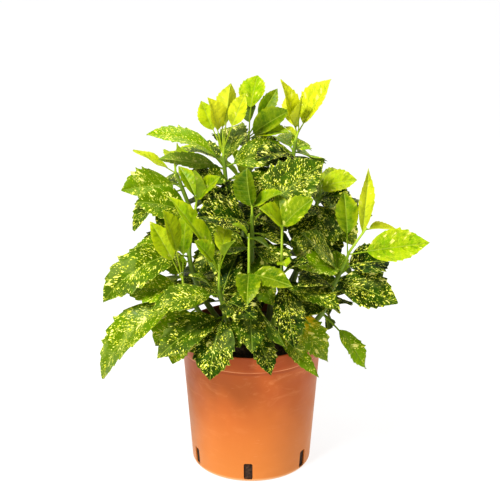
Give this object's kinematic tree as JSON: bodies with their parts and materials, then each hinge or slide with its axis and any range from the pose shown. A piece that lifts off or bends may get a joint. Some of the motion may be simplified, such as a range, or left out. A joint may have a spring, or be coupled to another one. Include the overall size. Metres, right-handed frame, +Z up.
{
  "type": "potted shrub",
  "caption": "Bushy evergreen shrub with toothed yellow-speckled leaves and lime-green young shoots, rooted in the soil of a round terracotta-coloured plastic nursery pot.",
  "frame": {"origin": "centre of the flat underside of the pot", "axes": "+Z up along the pot's axis, -Y towards the front of the picture, +X to its right"},
  "size_m": [0.5098, 0.4634, 0.656],
  "materials": {
    "pot": "satin",
    "soil": "matte",
    "old_foliage": "satin",
    "young_foliage": "satin"
  },
  "bodies": {
    "root": {"pot": "pot", "shoot_back": "young_foliage", "shoot_back_left": "young_foliage", "shoot_back_right": "young_foliage", "shoot_centre": "young_foliage", "shoot_front": "young_foliage", "shoot_front_left": "young_foliage", "shoot_front_right": "young_foliage", "shoot_left": "young_foliage", "shoot_left_back": "young_foliage", "shoot_right": "young_foliage", "shoot_right_back": "young_foliage", "shoot_top_left": "young_foliage", "shoot_top_middle": "young_foliage", "shoot_top_right": "young_foliage", "soil": "soil", "stem_back": "old_foliage", "stem_back_left": "old_foliage", "stem_back_right": "old_foliage", "stem_centre": "old_foliage", "stem_front": "old_foliage", "stem_front_left": "old_foliage", "stem_front_right": "old_foliage", "stem_left": "old_foliage", "stem_left_back": "old_foliage", "stem_right": "old_foliage", "stem_right_back": "old_foliage", "stem_top_left": "old_foliage", "stem_top_middle": "old_foliage", "stem_top_right": "old_foliage"}
  },
  "joints": []
}
